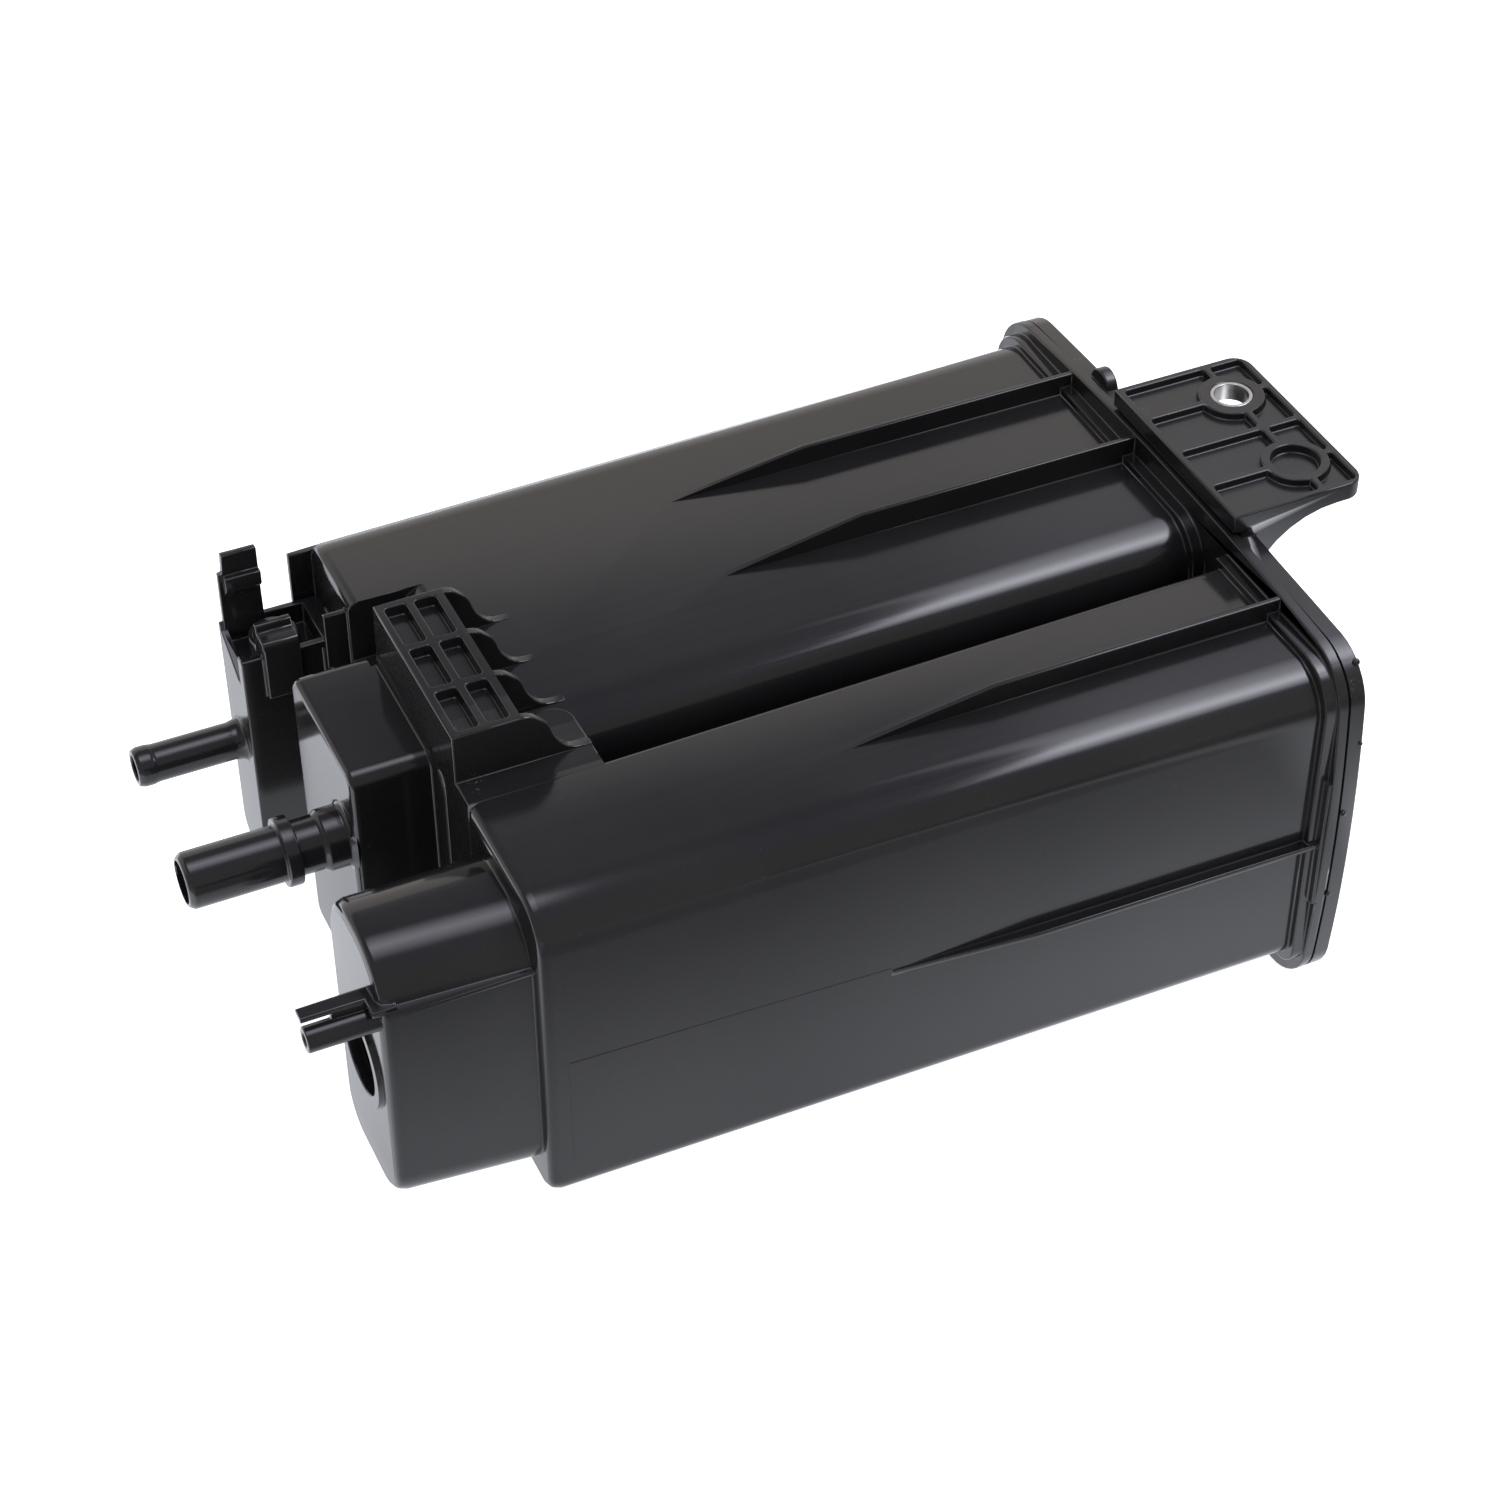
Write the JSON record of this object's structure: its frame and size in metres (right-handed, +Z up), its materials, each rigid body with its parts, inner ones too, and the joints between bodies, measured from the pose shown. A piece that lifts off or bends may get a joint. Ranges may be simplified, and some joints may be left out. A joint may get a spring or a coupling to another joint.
{
  "type": "evaporative emission charcoal canister",
  "caption": "Black moulded fuel vapour canister with side-by-side carbon chambers, hose ports, a lattice lug and a welded end cover whose bracket holds a steel bushing.",
  "frame": {"origin": "centre of the bounding box on its lowest plane, under the middle of the canister", "axes": "+X from the hose ports to the bracket end, +Y to the side of the wide chamber, +Z up to the lattice lug and bracket"},
  "size_m": [0.3038, 0.176, 0.1169],
  "materials": {
    "black_plastic": "satin moulded black with fine lengthwise streaks",
    "zinc_steel": "bright zinc",
    "grey_plastic": "matte moulded",
    "fleece": "fibrous",
    "carbon": "matte granules",
    "spring_steel": "drawn wire"
  },
  "bodies": {
    "root": {"housing": "black_plastic", "end_cover": "black_plastic", "bushing": "zinc_steel", "main_front_pad": "fleece", "main_bed": "carbon", "main_rear_pad": "fleece", "main_plate": "grey_plastic", "main_spring_far": "spring_steel", "main_spring_mid": "spring_steel", "main_spring_near": "spring_steel", "second_front_pad": "fleece", "second_bed": "carbon", "second_rear_pad": "fleece", "second_plate": "grey_plastic", "second_spring_top": "spring_steel", "second_spring_low": "spring_steel", "vent_pad": "fleece"}
  },
  "joints": []
}
